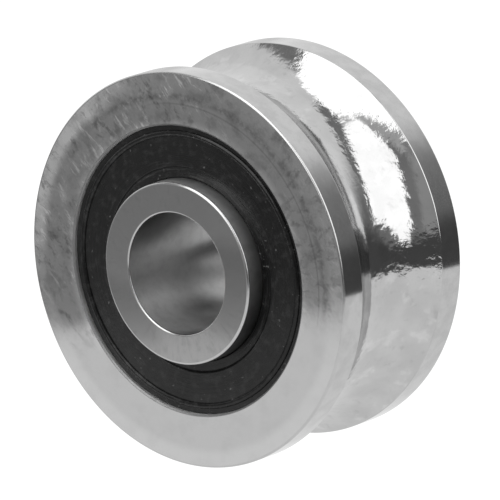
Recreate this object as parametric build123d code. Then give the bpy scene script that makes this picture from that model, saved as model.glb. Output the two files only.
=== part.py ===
"""U-groove track roller bearing.

A grooved outer ring runs on a round rail and turns on two rows of balls around an inner ring that is bolted
through its bore. Each row has its own snap cage, and a rubber seal closes each end. The axis of rotation is Z,
and the origin is the middle of the bearing. All sizes are in millimetres.
"""
import os
from math import cos, radians, sin

from build123d import *

# Outer ring
outer_diameter = 13.0
outer_width = 6.0
rim_edge_radius = 0.07
groove_opening = 4.12
groove_depth = 0.96
groove_edge_radius = 0.06
race_land_diameter = 8.0

# Inner ring, wider than the outer ring so that it can be clamped between spacers
bore_diameter = 4.0
bore_edge_radius = 0.06
inner_width = 7.0
shoulder_diameter = 6.0
shoulder_edge_radius = 0.10

# Balls and their raceways
ball_diameter = 1.588
balls_per_row = 8
raceway_conformity = 1.06
running_clearance = 0.02

# Snap cages
cage_back = 0.20
cage_clearance = 0.12
pocket_clearance = 0.05
prong_reach = 0.42
relief_width = 0.34
relief_depth = 0.28

# Seals and the groove in the outer ring that each one snaps into
seal_opening_diameter = 9.5
seal_opening_edge = 0.05
seal_undercut = 0.13
seal_lip_wall = 0.20
seal_floor_diameter = 8.7
seal_recess = 0.15
seal_thickness = 0.48
seal_disc_thickness = 0.40
seal_bead_height = 0.08
seal_bead_width = 0.20
seal_bead_inset = 0.13
seal_fit_clearance = 0.02
seal_step_diameter = 6.8
seal_step_height = 0.06
seal_lip_clearance = 0.03
seal_lip_thickness = 0.16
seal_lip_length = 0.14

# Places that follow from the sizes above
outer_radius = outer_diameter / 2
outer_face = outer_width / 2
race_land_radius = race_land_diameter / 2
shoulder_radius = shoulder_diameter / 2
ball_radius = ball_diameter / 2
pitch_radius = (shoulder_radius + race_land_radius) / 2
raceway_radius = raceway_conformity * ball_radius
raceway_reach = ball_radius + running_clearance
pocket_radius = ball_radius + pocket_clearance
seal_face = outer_face - seal_recess
seal_floor = seal_face - seal_thickness
row_slack = seal_floor - ball_diameter - pocket_clearance - cage_back
row_height = row_slack / 2 + ball_radius
ball_step = 360 / balls_per_row

TOP = 1
BOTTOM = -1
ENDS = {"top": TOP, "bottom": BOTTOM}


def turned(section):
    """A solid of revolution about Z, from a section drawn with X as radius and Y as height."""
    return revolve(Plane.XZ * section, Axis.Z).clean()


def box_section(r_in, r_out, z_low, z_high):
    """A rectangle between two radii and two heights."""
    return Pos((r_in + r_out) / 2, (z_low + z_high) / 2) * Rectangle(r_out - r_in, z_high - z_low)


def corners_near(section, radius, height):
    """The corners of a section at one radius and at plus and minus one height."""
    return section.vertices().filter_by(
        lambda v: abs(v.X - radius) < 1e-4 and abs(abs(v.Y) - height) < 1e-4
    )


def raceway_sections(centre_radius):
    """The two circles that cut the raceways of both rows."""
    return [Pos(centre_radius, side * row_height) * Circle(raceway_radius) for side in ENDS.values()]


def seal_seat_section(side):
    """The undercut that a seal snaps into: a lip at the face, a wider channel behind it and a flat floor."""
    opening = seal_opening_diameter / 2
    channel = opening + seal_undercut
    lip_bottom = outer_face - seal_lip_wall
    corners = [
        (race_land_radius - raceway_radius, outer_face + seal_lip_wall),
        (opening, outer_face + seal_lip_wall),
        (opening, lip_bottom),
        (channel, lip_bottom - seal_undercut),
        (channel, seal_floor),
        (seal_floor_diameter / 2, seal_floor),
        (race_land_radius, seal_floor - (seal_floor_diameter / 2 - race_land_radius) / 2),
        (race_land_radius - raceway_radius, seal_floor - (seal_floor_diameter / 2 - race_land_radius) / 2),
    ]
    return make_face(Polyline([(r, side * z) for r, z in corners], close=True))


def make_outer_ring():
    """The outer ring, with the rail groove outside and the raceways and seal seats inside."""
    half_opening = groove_opening / 2
    groove_radius = (half_opening**2 + groove_depth**2) / (2 * groove_depth)
    section = box_section(race_land_radius, outer_radius, -outer_face, outer_face)
    section -= Pos(outer_radius - groove_depth + groove_radius, 0) * Circle(groove_radius)
    for side in ENDS.values():
        section -= seal_seat_section(side)
    for raceway in raceway_sections(pitch_radius + raceway_reach - raceway_radius):
        section -= raceway
    section = fillet(corners_near(section, outer_radius, half_opening), groove_edge_radius)
    section = fillet(corners_near(section, outer_radius, outer_face), rim_edge_radius)
    section = chamfer(corners_near(section, seal_opening_diameter / 2, outer_face), seal_opening_edge)
    return turned(section)


def make_inner_ring():
    """The inner ring, with both raceways and the through bore."""
    half_width = inner_width / 2
    section = box_section(bore_diameter / 2, shoulder_radius, -half_width, half_width)
    for raceway in raceway_sections(pitch_radius - raceway_reach + raceway_radius):
        section -= raceway
    section = fillet(corners_near(section, bore_diameter / 2, half_width), bore_edge_radius)
    section = fillet(corners_near(section, shoulder_radius, half_width), shoulder_edge_radius)
    return turned(section)


def make_seal(side):
    """A moulded rubber seal: a bead that snaps into the outer ring, a flat disc, and a thin lip at the inner ring."""
    opening = seal_opening_diameter / 2
    channel = opening + seal_undercut - seal_fit_clearance
    neck = opening - 2 * seal_fit_clearance
    neck_bottom = outer_face - seal_lip_wall - seal_fit_clearance
    bead_outer = neck - seal_bead_inset
    bead_inner = bead_outer - seal_bead_width
    step = seal_step_diameter / 2
    lip = shoulder_radius + seal_lip_clearance
    lip_top = seal_face - seal_step_height
    disc_bottom = seal_face - seal_disc_thickness
    lip_root = lip + seal_lip_length
    pad_inner = seal_floor_diameter / 2 + seal_fit_clearance
    outside = [
        (bead_inner, seal_face),
        (lip, seal_face),
        (lip, lip_top - seal_lip_thickness),
        (lip_root, disc_bottom),
        (pad_inner - seal_thickness + seal_disc_thickness, disc_bottom),
        (pad_inner, seal_floor),
        (channel, seal_floor),
        (channel, neck_bottom - (channel - neck)),
        (neck, neck_bottom),
        (neck, seal_face),
        (bead_outer, seal_face),
    ]
    bead_top = ((bead_inner + bead_outer) / 2, seal_face + seal_bead_height)
    sunk = [(0, seal_face), (step, seal_face), (step - seal_step_height, lip_top), (0, lip_top)]
    edge = Polyline([(r, side * z) for r, z in outside])
    bead = ThreePointArc(
        (bead_outer, side * seal_face), (bead_top[0], side * bead_top[1]), (bead_inner, side * seal_face)
    )
    section = make_face([*edge.edges(), *bead.edges()])
    section -= make_face(Polyline([(r, side * z) for r, z in sunk], close=True))
    return turned(section)


def make_cage(side):
    """A snap cage: a ring behind the balls, with a pair of curved prongs that hold each ball."""
    inner = shoulder_radius + cage_clearance
    outer = race_land_radius - cage_clearance
    back = row_height + pocket_radius + cage_back
    tip = row_height - prong_reach
    ring = turned(box_section(inner, outer, tip, back))
    relief_height = prong_reach + relief_depth
    relief = Box(outer, relief_width, relief_height, align=(Align.MIN, Align.CENTER, Align.MIN))
    relief = Pos(0, 0, tip) * fillet(relief.faces().sort_by(Axis.Z)[-1].edges().filter_by(Axis.X), relief_width / 3)
    for i in range(balls_per_row):
        ring -= Rot(0, 0, (i + 0.5) * ball_step) * relief
        ring -= Pos(*ball_place(i, TOP)) * Sphere(pocket_radius)
    if side == BOTTOM:
        ring = mirror(ring, Plane.XY)
    return ring


def ball_place(index, side):
    """The centre of one ball at rest."""
    angle = radians(index * ball_step)
    return pitch_radius * cos(angle), pitch_radius * sin(angle), side * row_height


def make_ball(index, side):
    """One ball, resting between both raceways."""
    return Pos(*ball_place(index, side)) * Sphere(ball_radius)


def make_pieces():
    """Every separate piece of the bearing, by node name."""
    pieces = {"outer_ring": make_outer_ring(), "inner_ring": make_inner_ring()}
    for end, side in ENDS.items():
        pieces[f"{end}_seal"] = make_seal(side)
        pieces[f"{end}_cage"] = make_cage(side)
        for i in range(balls_per_row):
            pieces[f"{end}_ball_{i + 1}"] = make_ball(i, side)
    return pieces


os.makedirs("parts", exist_ok=True)
for node, solid in make_pieces().items():
    export_step(solid, f"parts/{node}.step")
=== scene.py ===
"""Looks of the u-groove bearing: turned rings, polished groove, rubber seals, camera and studio."""
import math

import bpy
import numpy as np
from mathutils import Matrix, Vector


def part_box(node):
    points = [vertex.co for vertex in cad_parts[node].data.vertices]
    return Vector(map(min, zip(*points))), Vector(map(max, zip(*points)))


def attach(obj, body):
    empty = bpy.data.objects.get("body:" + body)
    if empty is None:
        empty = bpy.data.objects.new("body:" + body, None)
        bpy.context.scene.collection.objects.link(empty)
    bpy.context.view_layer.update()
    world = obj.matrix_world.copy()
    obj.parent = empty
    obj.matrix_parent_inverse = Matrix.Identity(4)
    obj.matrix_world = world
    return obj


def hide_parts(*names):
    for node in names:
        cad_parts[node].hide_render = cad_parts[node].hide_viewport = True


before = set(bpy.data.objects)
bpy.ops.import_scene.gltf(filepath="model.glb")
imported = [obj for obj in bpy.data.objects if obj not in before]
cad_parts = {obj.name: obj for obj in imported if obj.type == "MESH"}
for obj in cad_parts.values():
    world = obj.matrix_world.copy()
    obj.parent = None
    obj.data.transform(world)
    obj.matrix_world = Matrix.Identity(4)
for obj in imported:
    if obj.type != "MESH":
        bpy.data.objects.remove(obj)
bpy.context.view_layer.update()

MM = 0.001
ROUND_STEPS = 384

# Sizes of the bearing, in millimetres, with the outside ones read from the frame
_, ring_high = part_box("outer_ring")
_, core_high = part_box("inner_ring")
OUTER_RADIUS = ring_high.x / MM
OUTER_FACE = ring_high.z / MM
SHOULDER_RADIUS = core_high.x / MM
INNER_FACE = core_high.z / MM
RIM_EDGE_RADIUS = 0.07
GROOVE_OPENING = 4.12
GROOVE_DEPTH = 0.96
GROOVE_EDGE_RADIUS = 0.06
RACE_LAND_RADIUS = 4.0
BORE_RADIUS = 2.0
BORE_EDGE_RADIUS = 0.06
SHOULDER_EDGE_RADIUS = 0.08
BALL_RADIUS = 0.794
RUNNING_CLEARANCE = 0.02
RACEWAY_CONFORMITY = 1.06
RACEWAY_RADIUS = RACEWAY_CONFORMITY * BALL_RADIUS
PITCH_RADIUS = (SHOULDER_RADIUS + RACE_LAND_RADIUS) / 2
ROW_HEIGHT = 1.06
SEAL_OPENING = 4.75
SEAL_OPENING_EDGE = 0.045
SEAL_OPENING_LEAN = 0.045
SEAL_UNDERCUT = 0.13
SEAL_LIP_WALL = 0.20
SEAL_FLOOR_RADIUS = 4.35
SEAL_RECESS = 0.15
SEAL_THICKNESS = 0.48
SEAL_DISC_THICKNESS = 0.40
SEAL_FACE = OUTER_FACE - SEAL_RECESS
SEAL_FLOOR = SEAL_FACE - SEAL_THICKNESS
SEAL_DISC_BOTTOM = SEAL_FACE - SEAL_DISC_THICKNESS
SEAL_FIT = 0.02
SEAL_NECK_GAP = 0.012
SEAL_BEAD_WIDTH = 0.20
SEAL_BEAD_HEIGHT = 0.08
SEAL_BEAD_INSET = 0.13
SEAL_BEAD_OUTER = SEAL_OPENING - 2 * SEAL_FIT - SEAL_BEAD_INSET
SEAL_STEP_RADIUS = 3.4
SEAL_STEP_HEIGHT = 0.06
SEAL_STEP_ROUNDING = 0.045
SEAL_LIP_CLEARANCE = 0.012
SEAL_LIP_THICKNESS = 0.16
SEAL_LIP_LENGTH = 0.14
BREAK_RADIUS = 0.02

# Steps along each kind of arc
GROOVE_STEPS = 60
RACEWAY_STEPS = 24
SHOULDER_EDGE_STEPS = 14
EDGE_STEPS = 12
CORNER_STEPS = 6

# The photograph's own directions: up and right lie in the plane of the bearing's face
UP_TURN = 80.1
UP = Vector((math.cos(math.radians(UP_TURN)), math.sin(math.radians(UP_TURN)), 0))
RIGHT = Vector((math.sin(math.radians(UP_TURN)), -math.cos(math.radians(UP_TURN)), 0))
FRONT = Vector((0, 0, 1))

# The grey of bare steel
STEEL = 0.50
# Fine turned rings on the outer ring's ends: radius, half width, how much darker, and how far across each
# one starts and is full
FACE_RINGS = ((5.475, 0.05, 0.22, (-2.6, 0.2)), (5.715, 0.18, 0.36, (-4.6, -2.8)))
# The lie of the scratches across the upper half of each face, in the photograph's directions
SCRATCH = Vector((0.743, -0.669))


def straight(start, end, zone):
    """A straight run of an outline, with the normal on the right of its direction."""
    along = np.subtract(end, start) / math.dist(start, end)
    normal = (along[1], -along[0])
    return {"points": [start, end], "normals": [normal, normal], "zone": zone}


def arc(centre, radius, first, last, steps, zone):
    """A round run between two angles in degrees. It bulges outward where the angle grows."""
    sign = 1 if last > first else -1
    angles = np.radians(np.linspace(first, last, steps + 1))
    spokes = [(math.cos(a), math.sin(a)) for a in angles]
    points = [(centre[0] + radius * c, centre[1] + radius * s) for c, s in spokes]
    return {"points": points, "normals": [(sign * c, sign * s) for c, s in spokes], "zone": zone}


def path(corners, zone):
    """Straight runs through corners of radius, height and rounding."""
    runs = []
    here = corners[0][:2]
    for before, corner, after in zip(corners, corners[1:], corners[2:]):
        point, rounding = np.array(corner[:2]), corner[2]
        if rounding == 0:
            runs.append(straight(here, tuple(point), zone))
            here = tuple(point)
            continue
        back = (np.array(before[:2]) - point) / math.dist(before[:2], point)
        ahead = (np.array(after[:2]) - point) / math.dist(after[:2], point)
        half = math.acos(np.clip(back @ ahead, -1, 1)) / 2
        start = point + back * rounding / math.tan(half)
        end = point + ahead * rounding / math.tan(half)
        middle = (back + ahead) / np.linalg.norm(back + ahead)
        centre = point + middle * rounding / math.sin(half)
        first = math.degrees(math.atan2(*(start - centre)[::-1]))
        turn = math.degrees(math.atan2(*(end - centre)[::-1])) - first
        turn = (turn + 180) % 360 - 180
        runs.append(straight(here, tuple(start), zone))
        runs.append(arc(centre, rounding, first, first + turn, CORNER_STEPS, zone))
        here = tuple(end)
    runs.append(straight(here, corners[-1][:2], zone))
    return runs


def flipped(runs):
    """The same runs below the middle plane, in the order that closes the outline."""
    return [
        {
            "points": [(r, -z) for r, z in reversed(run["points"])],
            "normals": [(r, -z) for r, z in reversed(run["normals"])],
            "zone": run["zone"],
        }
        for run in reversed(runs)
    ]


def lathe(name, runs, zones):
    """A closed turned mesh with exact normals, and one material for each zone."""
    rings, strips = [], []
    for run in runs:
        for i in range(len(run["points"]) - 1):
            rings.append(run["points"][i])
            strips.append((run["normals"][i], run["normals"][i + 1], run["zone"]))
    turn = 2 * np.pi * np.arange(ROUND_STEPS) / ROUND_STEPS
    cos_turn, sin_turn = np.cos(turn), np.sin(turn)
    verts = np.array([(r * c, r * s, z) for r, z in rings for c, s in zip(cos_turn, sin_turn)]) * MM
    faces, normals, indices = [], [], []
    names = list(zones)
    for k, (low, high, zone) in enumerate(strips):
        ring_a, ring_b = k * ROUND_STEPS, (k + 1) % len(rings) * ROUND_STEPS
        for i in range(ROUND_STEPS):
            j = (i + 1) % ROUND_STEPS
            faces.append((ring_a + i, ring_a + j, ring_b + j, ring_b + i))
            for n, t in ((low, i), (low, j), (high, j), (high, i)):
                normals.append((n[0] * cos_turn[t], n[0] * sin_turn[t], n[1]))
            indices.append(names.index(zone))
    mesh = bpy.data.meshes.new(name)
    mesh.from_pydata(verts, [], faces)
    mesh.polygons.foreach_set("material_index", indices)
    mesh.polygons.foreach_set("use_smooth", [True] * len(faces))
    for zone in names:
        mesh.materials.append(zones[zone])
    mesh.normals_split_custom_set(normals)
    piece = bpy.data.objects.new(name, mesh)
    bpy.context.scene.collection.objects.link(piece)
    return piece


def outer_ring_runs():
    """Half the outer ring's outline, from the root of the groove over the face to the race land."""
    half = GROOVE_OPENING / 2
    groove_radius = (half**2 + GROOVE_DEPTH**2) / (2 * GROOVE_DEPTH)
    groove_centre = OUTER_RADIUS - GROOVE_DEPTH + groove_radius
    edge_centre_r = OUTER_RADIUS - GROOVE_EDGE_RADIUS
    reach = groove_radius + GROOVE_EDGE_RADIUS
    edge_centre_z = math.sqrt(reach**2 - (groove_centre - edge_centre_r) ** 2)
    tilt = math.degrees(math.atan2(edge_centre_z, groove_centre - edge_centre_r))
    runs = [arc((groove_centre, 0), groove_radius, 180, 180 - tilt, GROOVE_STEPS, "groove")]
    runs.append(arc((edge_centre_r, edge_centre_z), GROOVE_EDGE_RADIUS, -tilt, 0, EDGE_STEPS, "land"))
    rim_centre = (OUTER_RADIUS - RIM_EDGE_RADIUS, OUTER_FACE - RIM_EDGE_RADIUS)
    runs.append(straight((OUTER_RADIUS, edge_centre_z), (OUTER_RADIUS, rim_centre[1]), "land"))
    runs.append(arc(rim_centre, RIM_EDGE_RADIUS, 0, 90, EDGE_STEPS, "rim"))
    channel = SEAL_OPENING + SEAL_UNDERCUT
    wall_top, wall_bottom = OUTER_FACE - SEAL_OPENING_EDGE, OUTER_FACE - SEAL_LIP_WALL
    edge_start = (SEAL_OPENING + SEAL_OPENING_LEAN + BREAK_RADIUS, OUTER_FACE)
    runs.append(straight((rim_centre[0], OUTER_FACE), edge_start, "face"))
    runs += path(
        [
            (*edge_start, 0),
            (SEAL_OPENING + SEAL_OPENING_LEAN, OUTER_FACE, BREAK_RADIUS),
            (SEAL_OPENING, wall_top, 0),
        ],
        "edge",
    )
    runs.append(straight((SEAL_OPENING, wall_top), (SEAL_OPENING, wall_bottom), "wall"))
    taper_bottom = SEAL_FLOOR - (SEAL_FLOOR_RADIUS - RACE_LAND_RADIUS) / 2
    raceway_centre = PITCH_RADIUS + BALL_RADIUS + RUNNING_CLEARANCE - RACEWAY_RADIUS
    half_chord = math.sqrt(RACEWAY_RADIUS**2 - (RACE_LAND_RADIUS - raceway_centre) ** 2)
    spread = math.degrees(math.atan2(half_chord, RACE_LAND_RADIUS - raceway_centre))
    runs += path(
        [
            (SEAL_OPENING, wall_bottom, 0),
            (channel, wall_bottom - SEAL_UNDERCUT, 0),
            (channel, SEAL_FLOOR, 0),
            (SEAL_FLOOR_RADIUS, SEAL_FLOOR, 0),
            (RACE_LAND_RADIUS, taper_bottom, 0),
            (RACE_LAND_RADIUS, ROW_HEIGHT + half_chord, 0),
        ],
        "inside",
    )
    runs.append(arc((raceway_centre, ROW_HEIGHT), RACEWAY_RADIUS, spread, -spread, RACEWAY_STEPS, "inside"))
    runs.append(straight((RACE_LAND_RADIUS, ROW_HEIGHT - half_chord), (RACE_LAND_RADIUS, 0), "inside"))
    return runs


def inner_ring_runs():
    """Half the inner ring's outline, from the raceways' side over the face to the bore."""
    raceway_centre = PITCH_RADIUS - BALL_RADIUS - RUNNING_CLEARANCE + RACEWAY_RADIUS
    half_chord = math.sqrt(RACEWAY_RADIUS**2 - (raceway_centre - SHOULDER_RADIUS) ** 2)
    spread = math.degrees(math.atan2(half_chord, raceway_centre - SHOULDER_RADIUS))
    raceway = (raceway_centre, ROW_HEIGHT)
    runs = [straight((SHOULDER_RADIUS, 0), (SHOULDER_RADIUS, ROW_HEIGHT - half_chord), "shoulder")]
    runs.append(arc(raceway, RACEWAY_RADIUS, 180 + spread, 180 - spread, RACEWAY_STEPS, "shoulder"))
    edge = (SHOULDER_RADIUS - SHOULDER_EDGE_RADIUS, INNER_FACE - SHOULDER_EDGE_RADIUS)
    shoulder_low = (SHOULDER_RADIUS, ROW_HEIGHT + half_chord)
    runs.append(straight(shoulder_low, (SHOULDER_RADIUS, edge[1]), "shoulder"))
    runs.append(arc(edge, SHOULDER_EDGE_RADIUS, 0, 90, SHOULDER_EDGE_STEPS, "corner"))
    bore_edge = (BORE_RADIUS + BORE_EDGE_RADIUS, INNER_FACE - BORE_EDGE_RADIUS)
    runs.append(straight((edge[0], INNER_FACE), (bore_edge[0], INNER_FACE), "face"))
    runs.append(arc(bore_edge, BORE_EDGE_RADIUS, 90, 180, EDGE_STEPS, "corner"))
    runs.append(straight((BORE_RADIUS, bore_edge[1]), (BORE_RADIUS, 0), "bore"))
    return runs


def seal_runs():
    """The whole outline of the top seal: bead, flat disc, step, lip and the pad that it rests on."""
    channel = SEAL_OPENING + SEAL_UNDERCUT - SEAL_FIT
    neck = SEAL_OPENING - SEAL_NECK_GAP
    neck_bottom = OUTER_FACE - SEAL_LIP_WALL - SEAL_FIT
    bead_inner = SEAL_BEAD_OUTER - SEAL_BEAD_WIDTH
    lip = SHOULDER_RADIUS + SEAL_LIP_CLEARANCE
    lip_top = SEAL_FACE - SEAL_STEP_HEIGHT
    pad_inner = SEAL_FLOOR_RADIUS + SEAL_FIT
    half_bead = SEAL_BEAD_WIDTH / 2
    bead_radius = (half_bead**2 + SEAL_BEAD_HEIGHT**2) / (2 * SEAL_BEAD_HEIGHT)
    bead_centre = (bead_inner + half_bead, SEAL_FACE + SEAL_BEAD_HEIGHT - bead_radius)
    bead_spread = math.degrees(math.asin(half_bead / bead_radius))
    runs = [straight((neck, neck_bottom), (neck, SEAL_FACE), "rubber")]
    runs.append(straight((neck, SEAL_FACE), (SEAL_BEAD_OUTER, SEAL_FACE), "rubber"))
    runs.append(arc(bead_centre, bead_radius, 90 - bead_spread, 90 + bead_spread, EDGE_STEPS, "rubber"))
    runs += path(
        [
            (bead_inner, SEAL_FACE, 0),
            (SEAL_STEP_RADIUS, SEAL_FACE, SEAL_STEP_ROUNDING),
            (SEAL_STEP_RADIUS - SEAL_STEP_HEIGHT, lip_top, SEAL_STEP_ROUNDING),
            (lip, lip_top, SEAL_STEP_ROUNDING),
            (lip, lip_top - SEAL_LIP_THICKNESS, 0),
            (lip + SEAL_LIP_LENGTH, SEAL_DISC_BOTTOM, 0),
            (pad_inner - (SEAL_DISC_BOTTOM - SEAL_FLOOR), SEAL_DISC_BOTTOM, 0),
            (pad_inner, SEAL_FLOOR, 0),
            (channel, SEAL_FLOOR, 0),
            (channel, neck_bottom - (channel - neck), 0),
            (neck, neck_bottom, 0),
        ],
        "rubber",
    )
    return runs


class Net:
    """Short forms for the nodes of one shader."""

    def __init__(self, tree):
        self.tree = tree

    def add(self, kind, **settings):
        node = self.tree.nodes.new(kind)
        for key, value in settings.items():
            setattr(node, key, value)
        return node

    def put(self, socket, value):
        """Links a socket to the value, or sets it to the value where that is a number or a tuple."""
        if isinstance(value, bpy.types.NodeSocket):
            self.tree.links.new(value, socket)
        else:
            socket.default_value = value

    def math(self, operation, *values):
        node = self.add("ShaderNodeMath", operation=operation)
        for socket, value in zip(node.inputs, values):
            self.put(socket, value)
        return node.outputs[0]

    def vector(self, operation, *values):
        node = self.add("ShaderNodeVectorMath", operation=operation)
        for socket, value in zip(node.inputs, values):
            self.put(socket, value)
        return node.outputs["Value" if operation in ("DOT_PRODUCT", "LENGTH") else "Vector"]

    def scaled(self, vector, factor):
        node = self.add("ShaderNodeVectorMath", operation="SCALE")
        self.put(node.inputs[0], vector)
        self.put(node.inputs["Scale"], factor)
        return node.outputs[0]

    def along(self, vector, axis):
        """How far a vector reaches along one axis."""
        return self.vector("DOT_PRODUCT", vector, tuple(axis))

    def ramp(self, value, low, high, start=0.0, end=1.0):
        """Goes smoothly from start to end as value goes from low to high."""
        node = self.add("ShaderNodeMapRange", interpolation_type="SMOOTHSTEP")
        for name, number in (("From Min", low), ("From Max", high), ("To Min", start), ("To Max", end)):
            self.put(node.inputs[name], number)
        self.put(node.inputs["Value"], value)
        return node.outputs["Result"]

    def blend(self, factor, first, second):
        node = self.add("ShaderNodeMix", data_type="FLOAT")
        self.put(node.inputs[0], factor)
        self.put(node.inputs[2], first)
        self.put(node.inputs[3], second)
        return node.outputs[0]

    def noise(self, vector, scale, detail=2.0, roughness=0.5, distortion=0.0):
        node = self.add("ShaderNodeTexNoise")
        self.put(node.inputs["Vector"], vector)
        for name, number in (
            ("Scale", scale), ("Detail", detail), ("Roughness", roughness), ("Distortion", distortion)
        ):
            self.put(node.inputs[name], number)
        return node.outputs[0]

    def drift(self, place, scale, reach):
        """Every point moved a little by soft noise, so that marks lean and bend."""
        node = self.add("ShaderNodeTexNoise")
        self.put(node.inputs["Vector"], place)
        node.inputs["Scale"].default_value = scale
        offset = self.vector("SUBTRACT", node.outputs["Color"], (0.5, 0.5, 0.5))
        return self.vector("ADD", place, self.scaled(offset, reach))

    def place(self):
        """The point on the object, in millimetres."""
        return self.scaled(self.add("ShaderNodeTexCoord").outputs["Object"], 1 / MM)

    def bump(self, height, depth):
        """A bump whose height of 1 stands for depth millimetres."""
        node = self.add("ShaderNodeBump")
        self.put(node.inputs["Height"], height)
        node.inputs["Distance"].default_value = depth * MM
        return node.outputs[0]

    def spread(self, value, centre, width):
        """1 at the centre, falling smoothly to 0 at the width on both sides."""
        return self.ramp(self.math("ABSOLUTE", self.math("SUBTRACT", value, centre)), width, 0)

    def all_of(self, *factors):
        product = factors[0]
        for factor in factors[1:]:
            product = self.math("MULTIPLY", product, factor)
        return product

    def least(self, *values):
        lowest = values[0]
        for value in values[1:]:
            lowest = self.math("MINIMUM", lowest, value)
        return lowest

    def faded(self, value, factor, strength):
        """The value lowered by the share strength where the factor is 1. A negative strength raises it."""
        kept = self.math("SUBTRACT", 1, self.math("MULTIPLY", factor, strength))
        return self.math("MULTIPLY", value, kept)

    def polar(self, place):
        """A point's radius, and how far up and right of the middle it lies as the photograph shows it."""
        radius = self.vector("LENGTH", self.vector("MULTIPLY", place, (1, 1, 0)))
        return radius, self.along(place, UP), self.along(place, RIGHT)

    def streaks(self, place, around, along, seed=0.0):
        """Noise space in which marks are thin around the axis and long outward, without a seam."""
        radius, _, _ = self.polar(place)
        spoke = self.scaled(self.vector("NORMALIZE", self.vector("MULTIPLY", place, (1, 1, 0))), around)
        node = self.add("ShaderNodeCombineXYZ")
        self.put(node.inputs["Z"], self.math("MULTIPLY_ADD", radius, along, seed))
        return self.vector("ADD", spoke, node.outputs[0])

    def scratches(self, place, across, along, seed=0.0):
        """Noise space in which marks lie along the scratch direction of the faces."""
        lie = SCRATCH.x * RIGHT + SCRATCH.y * UP
        node = self.add("ShaderNodeCombineXYZ")
        self.put(node.inputs["X"], self.math("MULTIPLY", self.along(place, lie.cross(FRONT)), across))
        self.put(node.inputs["Y"], self.math("MULTIPLY", self.along(place, lie), along))
        node.inputs["Z"].default_value = seed
        return node.outputs[0]

    def grey(self, value):
        node = self.add("ShaderNodeCombineColor")
        for socket in node.inputs[:3]:
            self.put(socket, value)
        return node.outputs[0]


def new_material(name):
    """An empty material with its short forms and its shader."""
    material = bpy.data.materials.new(name)
    material.use_nodes = True
    return material, Net(material.node_tree), material.node_tree.nodes["Principled BSDF"]


def set_steel(net, shader, shade, roughness):
    """Bare metal of one shade and roughness. Each is a number or comes from the noise of the finish."""
    net.put(shader.inputs["Base Color"], net.grey(shade))
    net.put(shader.inputs["Metallic"], 1)
    net.put(shader.inputs["Roughness"], roughness)


# Zones of the outer ring's faces: radii, or distances to the photograph's right and up, where each zone
# starts and where it is full
WORN_RIM = (5.78, 6.15)
SEAL_BORDER = (5.10, 4.80)
MARKED_LEAN = -0.26
MARKED_UP = (-2.7, -1.2)
MORE_MARKS_LEFT = (2.4, -1.0)
# Where painted light makes the worn rim palest: the lean towards the upper left, and where it starts and is
# full
PAINTED_LIGHT_CORNER_LEAN = (-0.87, 0.5)
PAINTED_LIGHT_CORNER = (4.4, 6.3)
SPOKES_RIGHT = (2.6, 4.6)
SCRATCHES_UP = (-2.4, -0.8)
PALE_PATCHES_UP = (-1.8, -0.2)


def ring_face_steel():
    """The outer ring's ground ends: evenly turned and worn zones, and marks across the upper part."""
    material, net, shader = new_material("ring_face_steel")
    place = net.place()
    radius, rise, aside = net.polar(place)

    # Where marks lie: over the upper part, more of them on its left, and in areas that wander
    upper = net.ramp(net.math("MULTIPLY_ADD", aside, MARKED_LEAN, rise), *MARKED_UP)
    left = net.ramp(aside, *MORE_MARKS_LEFT)
    near = net.ramp(net.noise(place, 0.7, 2, 0.5), 0.44, 0.58)

    # The worn zone by the rim, palest at the upper left with painted light, and a pale border round the
    # seal
    worn = net.ramp(radius, *WORN_RIM)
    # The upper left, where painted light makes the worn rim palest
    across, upward = PAINTED_LIGHT_CORNER_LEAN
    corner = net.math("MULTIPLY_ADD", aside, across, net.math("MULTIPLY", rise, upward))
    corner = net.ramp(corner, *PAINTED_LIGHT_CORNER)
    shade = net.blend(worn, STEEL * 0.98, net.blend(corner, STEEL * 1.10, STEEL * 1.90))
    shade = net.faded(shade, net.all_of(net.ramp(radius, *SEAL_BORDER), upper), -0.32)

    # The turned rings, of which the outer one is broken
    broken = net.ramp(net.noise(place, 3.0, 5, 0.75), 0.38, 0.58)
    for (centre, width, strength, start), part in zip(FACE_RINGS, (1, broken)):
        ring = net.all_of(net.spread(radius, centre, width), upper, part, net.ramp(aside, *start))
        shade = net.faded(shade, ring, strength)

    # How much each kind of mark darkens, and what limits it: dark smudges, light scratches, spokes on the
    # right, stains, pale patches and clouding
    bent = net.drift(place, 1.1, 0.28)
    dark = net.noise(net.scratches(bent, 3.0, 1.5, 11.0), 1.0, 4, 0.7)
    light = net.noise(net.scratches(bent, 5.0, 1.3, 3.0), 1.0, 3, 0.65)
    spoked = net.noise(net.streaks(bent, 18, 2.0), 1.0, 4, 0.65)
    blotch = net.noise(place, 1.3, 4, 0.65)
    cloud = net.noise(place, 1.3, 4, 0.6)
    not_low = net.ramp(rise, *SCRATCHES_UP)
    marks = (
        (0.48, net.ramp(dark, 0.49, 0.66), upper, net.blend(near, 1.0, 0.3), net.blend(left, 0.35, 1.0)),
        (-0.75, net.ramp(light, 0.53, 0.70), upper, near, net.blend(left, 0.25, 1.0), not_low),
        (0.30, net.ramp(spoked, 0.50, 0.66), upper, net.ramp(aside, *SPOKES_RIGHT)),
        (0.20, net.ramp(blotch, 0.48, 0.68), upper),
        (-0.30, net.ramp(blotch, 0.46, 0.30), upper, left, net.ramp(rise, *PALE_PATCHES_UP)),
        (0.06, net.ramp(cloud, 0.42, 0.75)),
    )
    for strength, *limits in marks:
        shade = net.faded(shade, net.all_of(*limits), strength)
    set_steel(net, shader, shade, net.blend(worn, 0.12, 0.17))
    return material


# Darker areas of the inner ring's faces: their borders to the side, above and below, each from where the
# area starts to where it is full, and how much darker it is
DARKER_AREAS = (
    ((0.8, 2.0), (1.8, 0.9), (-2.2, -1.2), 0.28),
    ((-0.2, -1.2), (-0.3, -1.1), (-2.9, -2.2), 0.22),
)


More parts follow.
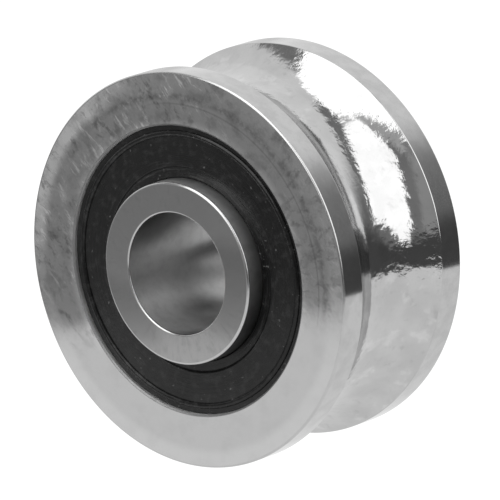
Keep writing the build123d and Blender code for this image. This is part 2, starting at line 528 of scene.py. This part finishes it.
def core_face_steel():
    """The inner ring's ground ends: darker on the right and lower left, with faint grinding marks."""
    material, net, shader = new_material("core_face_steel")
    place = net.place()
    _, rise, aside = net.polar(place)
    streak = net.noise(net.streaks(place, 12, 2.0, 3.0), 1.0, 3, 0.6)
    shade = STEEL * 0.76
    for across, above, below, strength in DARKER_AREAS:
        area = net.all_of(net.ramp(aside, *across), net.ramp(rise, *above), net.ramp(rise, *below))
        shade = net.faded(shade, area, strength)
    shade = net.faded(shade, net.ramp(streak, 0.5, 0.7), 0.10)
    set_steel(net, shader, shade, net.ramp(streak, 0.35, 0.65, 0.22, 0.27))
    return material


# How far up the shoulder turns from painted shade to painted light
SHOULDER_PAINTED_LIGHT_UP = (-1.5, 1.8)


def shoulder_steel():
    """The inner ring's rough shoulder: painted light above, painted shade below and near the seal."""
    material, net, shader = new_material("shoulder_steel")
    place = net.place()
    _, rise, _ = net.polar(place)
    height = net.math("ABSOLUTE", net.along(place, FRONT))
    # Painted light above and painted shade below, then painted shade towards the seal
    shade = net.ramp(rise, *SHOULDER_PAINTED_LIGHT_UP, STEEL * 0.5, STEEL * 1.9)
    shade = net.faded(shade, net.ramp(height, INNER_FACE, SEAL_FACE), 0.55)
    shade = net.faded(shade, net.ramp(net.noise(place, 3.0, 3), 0.4, 0.7), 0.15)
    set_steel(net, shader, shade, 0.42)
    return material


# Where the bore is paler with painted light, and rougher: below the middle, towards both ends, and less
# far to the right near them. And how far up painted shade makes the bore dark.
PAINTED_LIGHT_DOWN = (-0.45, -1.4)
PAINTED_LIGHT_ENDS = (0.8, 2.6)
PAINTED_LIGHT_LEAN = 0.6
PAINTED_LIGHT_LEFT = (2.9, 1.5)
BORE_PAINTED_SHADE_UP = (0.3, 1.5)


def bore_steel():
    """The honed bore: painted shade at its top, and painted light and more roughness low near both ends."""
    material, net, shader = new_material("bore_steel")
    place = net.place()
    _, rise, aside = net.polar(place)
    height = net.math("ABSOLUTE", net.along(place, FRONT))
    slanted = net.ramp(net.math("MULTIPLY_ADD", height, PAINTED_LIGHT_LEAN, aside), *PAINTED_LIGHT_LEFT)
    painted_light_and_rough = net.all_of(net.ramp(rise, *PAINTED_LIGHT_DOWN), slanted, net.ramp(height, *PAINTED_LIGHT_ENDS))
    # Painted light where the bore is pale, then painted shade towards its top
    shade = net.blend(painted_light_and_rough, STEEL * 0.78, STEEL * 1.95)
    shade = net.faded(shade, net.ramp(rise, *BORE_PAINTED_SHADE_UP), 0.60)
    shade = net.faded(shade, net.ramp(net.noise(place, 3.0, 4, 0.6), 0.4, 0.7), 0.12)
    set_steel(net, shader, shade, net.blend(painted_light_and_rough, 0.28, 0.44))
    return material


def plain_steel(name, roughness, tone=1.0, clouding=0.05):
    """Steel of one roughness with clouding."""
    material, net, shader = new_material(name)
    cloud = net.noise(net.place(), 2.0, 4, 0.6)
    shade = net.ramp(cloud, 0.35, 0.65, STEEL * tone * (1 - clouding), STEEL * tone)
    set_steel(net, shader, shade, net.ramp(cloud, 0.3, 0.7, roughness * 1.1, roughness * 0.9))
    return material


# Heights in the groove between which its texture turns coarse, and between which its polish turns dull
COARSE_DOWN = (0.6, -0.1)
DULL_UP = (0.1, 1.3)
RAG_DEPTH = 0.010


def groove_steel():
    """The polished groove, with the fine ragged texture that breaks up its reflections."""
    material, net, shader = new_material("groove_steel")
    place = net.place()
    height = net.along(place, FRONT)
    stain = net.noise(place, 2.6, 4, 0.6, 0.4)
    pale = net.noise(place, 1.2, 4, 0.6)
    cloud = net.noise(place, 0.9, 3, 0.55)
    marks = ((stain, 0.55, 0.75, 0.12), (pale, 0.56, 0.70, -0.14), (cloud, 0.35, 0.65, 0.10))
    shade = STEEL * 1.03
    for mark, low, high, strength in marks:
        shade = net.faded(shade, net.ramp(mark, low, high), strength)
    set_steel(net, shader, shade, net.ramp(height, *DULL_UP, 0.07, 0.15))

    rag = net.noise(place, 5.5, 3, 0.6, 0.2)
    areas = net.ramp(net.noise(place, 1.6, 2, 0.5), 0.40, 0.62, 0.25, 1.0)
    ragged = net.math("MULTIPLY", areas, net.ramp(height, *COARSE_DOWN, 0.3, 1.0))
    net.put(shader.inputs["Normal"], net.bump(net.math("MULTIPLY", rag, ragged), RAG_DEPTH))
    return material


# Zones of the seal's face: radii, and distances down and right, where each zone starts and where it is full
BEAD_CREST = SEAL_BEAD_OUTER - SEAL_BEAD_WIDTH / 2
PAST_CREST = (BEAD_CREST - 0.02, BEAD_CREST + 0.02)
INNER_FLANK = (BEAD_CREST - 0.13, BEAD_CREST - 0.09)
BEAD_END = (SEAL_BEAD_OUTER + 0.04, SEAL_BEAD_OUTER)
SMEARED = (SEAL_STEP_RADIUS + 0.35, SEAL_STEP_RADIUS - 0.05)
# Where painted shade lowers the seal's sheen: the lean, and where it starts and is full towards the right
SHEEN_SHADE_LEAN = -0.6
SHEEN_SHADE_RIGHT = (-2.4, 2.4)
# The faint moulded rings as a wave over the radius, and the depth of the fine grain
MOULD_WAVE = 42.0
GRAIN_DEPTH = 0.003


def seal_rubber():
    """Moulded nitrile rubber with a fine grain, faint moulded rings and a little dust."""
    material, net, shader = new_material("seal_rubber")
    place = net.place()
    radius, rise, aside = net.polar(place)

    # Smears on the sunk part by the lip, blots, and grains of dust
    cloud = net.noise(place, 1.5, 3)
    shade = net.ramp(cloud, 0.3, 0.7, 0.003, 0.007)
    smear = net.ramp(net.noise(net.streaks(place, 2.2, 12), 1.0, 3, 0.6), 0.55, 0.75, 0.0, 0.05)
    smear = net.math("MULTIPLY", smear, net.ramp(radius, *SMEARED))
    blots = net.ramp(net.noise(place, 3.2, 4, 0.65), 0.48, 0.70, 0.0, 0.016)
    dust = net.ramp(net.noise(place, 7.0, 2, 0.4), 0.70, 0.76, 0.0, 0.10)
    shade = net.math("ADD", net.math("ADD", shade, net.math("ADD", smear, blots)), dust)
    net.put(shader.inputs["Base Color"], net.grey(shade))

    # Sheen lowered towards the lower right as painted shade, and broken up on the inner flank of the bead
    past_crest = net.ramp(radius, *PAST_CREST)
    inner_flank = net.all_of(net.ramp(radius, *INNER_FLANK), net.math("SUBTRACT", 1, past_crest))
    specks = net.ramp(net.noise(place, 6.0, 3, 0.6), 0.48, 0.60)
    sheen_shade = net.ramp(net.math("MULTIPLY_ADD", rise, SHEEN_SHADE_LEAN, aside), *SHEEN_SHADE_RIGHT, 0.44, 0.29)
    gloss = net.faded(sheen_shade, inner_flank, net.blend(specks, 0.38, 0.05))
    net.put(shader.inputs["Specular IOR Level"], gloss)

    # Faint moulded rings, and smoother on the outer flank of the bead
    rings = net.math("SINE", net.math("MULTIPLY", radius, MOULD_WAVE))
    rough = net.math("MULTIPLY_ADD", rings, 0.03, net.ramp(cloud, 0.3, 0.7, 0.30, 0.24))
    outer_flank = net.all_of(past_crest, net.ramp(radius, *BEAD_END))
    net.put(shader.inputs["Roughness"], net.faded(rough, outer_flank, 0.35))
    net.put(shader.inputs["Normal"], net.bump(net.noise(place, 14.0, 2), GRAIN_DEPTH))
    return material


def nylon():
    """Natural nylon of the cages."""
    material, net, shader = new_material("cage_nylon")
    cloud = net.noise(net.place(), 3.0, 3)
    net.put(shader.inputs["Base Color"], net.grey(net.ramp(cloud, 0.3, 0.7, 0.55, 0.62)))
    shader.inputs["Roughness"].default_value = 0.45
    return material


def finish_piece(piece, body, slot, *nodes):
    """Puts a turned piece on its body, in place of the solids that it finishes."""
    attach(piece, body)
    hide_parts(*nodes)


def build_pieces():
    """Every visible piece, turned from its outline with a finish for each zone."""
    outer_half = outer_ring_runs()
    zones = {
        "groove": groove_steel(),
        "land": plain_steel("land_steel", 0.10, clouding=0.11),
        "rim": plain_steel("rim_steel", 0.22),
        "face": ring_face_steel(),
        # Tone 0.5 on the seal opening's edge is painted shade, and tone 1.5 on its wall is painted light
        "edge": plain_steel("seal_edge_steel", 0.5, 0.5),
        "wall": plain_steel("seal_wall_steel", 0.6, 1.5),
        "inside": plain_steel("inside_steel", 0.2),
    }
    ring = lathe("outer_ring_finish", flipped(outer_half) + outer_half, zones)
    finish_piece(ring, "outer", "outer_ring_steel", "outer_ring")
    inner_half = inner_ring_runs()
    zones = {
        "shoulder": shoulder_steel(),
        "corner": plain_steel("corner_steel", 0.22),
        "face": core_face_steel(),
        "bore": bore_steel(),
    }
    core = lathe("inner_ring_finish", flipped(inner_half) + inner_half, zones)
    finish_piece(core, "inner", "inner_ring_steel", "inner_ring")
    rubber = seal_rubber()
    for end, runs in (("top", seal_runs()), ("bottom", flipped(seal_runs()))):
        seal = lathe(f"{end}_seal_finish", runs, {"rubber": rubber})
        finish_piece(seal, "outer", "seal_rubber", f"{end}_seal")
    inner_looks = {"ball": plain_steel("ball_steel", 0.05), "cage": nylon()}
    for node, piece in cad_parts.items():
        for word, material in inner_looks.items():
            if word in node:
                piece.data.materials.clear()
                piece.data.materials.append(material)


# The studio as a map of directions: degrees from straight up, laid out to the photograph's right and front.
# Each patch has the corners of a convex shape, going round, the softness of its border in degrees and its
# brightness. Later patches cover earlier ones, and all cover the dim wall.
WALL = 0.28
PATCHES = (
    # Gap between the boxes, back wall, the room behind its left end, and the dark part low behind
    (((9, -15), (18, -18), (24, 28), (14, 28)), 2, 0.75),
    (((-185, -185), (75, -100), (62, -62), (10, -30), (-30, -14), (-185, -14)), 5, 1.08),
    (((-185, -20), (-15, -17), (-23, -4), (-47, 12), (-185, 12)), 4, 0.98),
    (((-185, -4), (-43, 0), (-60, 40), (-185, 40)), 4, 0.98),
    (((14, -185), (150, -150), (70, -50), (27, -44)), 16, 0.22),
    # Pale corner behind the boxes, and the dim room low on the right
    (((-3, -22), (-9, -13.5), (-24, -5), (-34, -8), (-34, -22), (-10, -26)), 1.5, 1.03),
    (((30, 44), (80, 40), (80, 75), (30, 75)), 5, 0.42),
    (((14, 10), (30, 16), (36, 40), (24, 50)), 2.5, 0.62),
    # Main softbox, with a dark frame along its upper left side
    (((-3, -24), (78, -78.5), (84, -74), (0, -20)), 1.2, 0.26),
    (((16, -19), (56, -57), (89, -5), (89, 8), (82, 16), (60, 22), (38, 26), (16, 6)), 1.5, 2.05),
    # Second softbox, in front
    (
        ((-27, 8), (-23, -6), (-15, -14), (-5, -17), (10, -13), (19, 25), (25, 50), (20, 75), (-45, 75)),
        1.5,
        2.4,
    ),
)
# Below the map: the dark horizon, and the room behind and in front. Each has the azimuths, from the
# photograph's right towards its front, between which it takes over, and its brightness.
HORIZON = 0.09
LOW_ROOM = ((-70, -100, 0.75), (60, 105, 0.34))
# How far down the map is clear, on the right and then at the back, and between which azimuths it changes
CLEAR_RIGHT, CLEAR_BACK = 87, 80
CLEAR_TURN = (-30, -45)
MAP_END = 90
BACKGROUND = 1.1


def build_world():
    """The studio round the bearing by direction, behind a plain white background."""
    world = bpy.data.worlds.new("studio")
    bpy.context.scene.world = world
    world.use_nodes = True
    net = Net(world.node_tree)
    direction = net.vector("NORMALIZE", net.add("ShaderNodeTexCoord").outputs["Generated"])
    right, up, front = (net.along(direction, axis) for axis in (RIGHT, UP, FRONT))
    fall = net.math("DEGREES", net.math("ARCCOSINE", up))
    turn = net.math("ARCTAN2", front, right)
    across = net.math("MULTIPLY", fall, net.math("COSINE", turn))
    ahead = net.math("MULTIPLY", fall, net.math("SINE", turn))

    def patch(corners, soft):
        """1 inside the convex shape on the map, 0 outside."""
        sides = list(zip(corners, corners[1:] + corners[:1]))
        turning = sum(a[0] * b[1] - b[0] * a[1] for a, b in sides)
        depths = []
        for a, b in sides:
            edge = Vector((b[0] - a[0], b[1] - a[1])).normalized() * math.copysign(1, turning)
            reach = [net.math("MULTIPLY", ahead, edge.x), net.math("MULTIPLY", across, edge.y)]
            depths.append(net.math("SUBTRACT", net.math("SUBTRACT", *reach), edge.x * a[1] - edge.y * a[0]))
        return net.ramp(net.least(*depths), -soft, soft)

    level = WALL
    for corners, soft, brightness in PATCHES:
        level = net.blend(patch(corners, soft), level, brightness)
    azimuth = net.math("DEGREES", turn)
    low = HORIZON
    for start, end, brightness in LOW_ROOM:
        low = net.blend(net.ramp(azimuth, start, end), low, brightness)
    clear = net.ramp(azimuth, *CLEAR_TURN, CLEAR_RIGHT, CLEAR_BACK)
    level = net.blend(net.ramp(fall, clear, MAP_END), level, low)
    background = world.node_tree.nodes["Background"]
    seen = net.add("ShaderNodeLightPath").outputs["Is Camera Ray"]
    net.put(background.inputs["Color"], net.grey(net.blend(seen, level, BACKGROUND)))


# The floor, just under the bearing, and the round paper that the rims stand on in the photograph, whose
# centre is given to the photograph's right and front
FLOOR_HALF = 2000.0
FLOOR_GAP = 0.002
FLOOR_TONE = 0.35
FLOOR_GLOW = 0.95
PAPER_CENTRE = (9.3, 0.2)
PAPER_RADIUS = 26.0
PAPER_STEPS = 96
PAPER_GLOW = 0.97


def sheet(name, corners, tone, glow):
    """A flat glowing sheet for the studio, from its corners in millimetres."""
    mesh = bpy.data.meshes.new(name)
    mesh.from_pydata([corner * MM for corner in corners], [], [range(len(corners))])
    piece = bpy.data.objects.new(name, mesh)
    bpy.context.scene.collection.objects.link(piece)
    material, _, shader = new_material(name)
    shader.inputs["Base Color"].default_value = (tone, tone, tone, 1)
    shader.inputs["Roughness"].default_value = 1
    shader.inputs["Specular IOR Level"].default_value = 0
    shader.inputs["Emission Color"].default_value = (1, 1, 1, 1)
    shader.inputs["Emission Strength"].default_value = glow
    mesh.materials.append(material)
    return piece


def build_studio():
    """A pale floor that lights the bearing from below, and the sheet of paper that the steel mirrors."""
    corners = [
        Vector((x * FLOOR_HALF, y * FLOOR_HALF, -INNER_FACE - FLOOR_GAP))
        for x, y in ((-1, -1), (1, -1), (1, 1), (-1, 1))
    ]
    floor = sheet("floor", corners, FLOOR_TONE, FLOOR_GLOW)
    floor.visible_camera = floor.visible_glossy = False

    turn = [2 * math.pi * i / PAPER_STEPS for i in range(PAPER_STEPS)]
    rim = [
        (PAPER_CENTRE[0] + PAPER_RADIUS * math.cos(t)) * RIGHT
        + (PAPER_CENTRE[1] + PAPER_RADIUS * math.sin(t)) * FRONT
        - OUTER_RADIUS * UP
        for t in turn
    ]
    paper = sheet("paper", rim, 0, PAPER_GLOW)
    paper.visible_camera = paper.visible_diffuse = paper.visible_shadow = False


# The photograph's camera, in millimetres from the middle of the bearing
EYE = Vector((156.396, 37.663, 179.180))
CAMERA_RIGHT = Vector((0.76076, -0.13333, -0.63519))
CAMERA_UP = Vector((0.0, 0.97867, -0.20543))
LENS = 535.4
SENSOR = 36.0
CLIP = (0.01, 20.0)


def build_camera():
    """A long lens that looks down on the bearing's end, at the photograph's angle."""
    data = bpy.data.cameras.new("camera")
    data.lens = LENS
    data.sensor_width = SENSOR
    data.clip_start, data.clip_end = CLIP
    camera = bpy.data.objects.new("camera", data)
    bpy.context.scene.collection.objects.link(camera)
    turn = Matrix((CAMERA_RIGHT, CAMERA_UP, CAMERA_RIGHT.cross(CAMERA_UP))).transposed()
    camera.matrix_world = Matrix.Translation(EYE * MM) @ turn.to_4x4()
    bpy.context.scene.camera = camera


build_pieces()
build_world()
build_studio()
build_camera()
bpy.context.scene.view_settings.view_transform = "Standard"
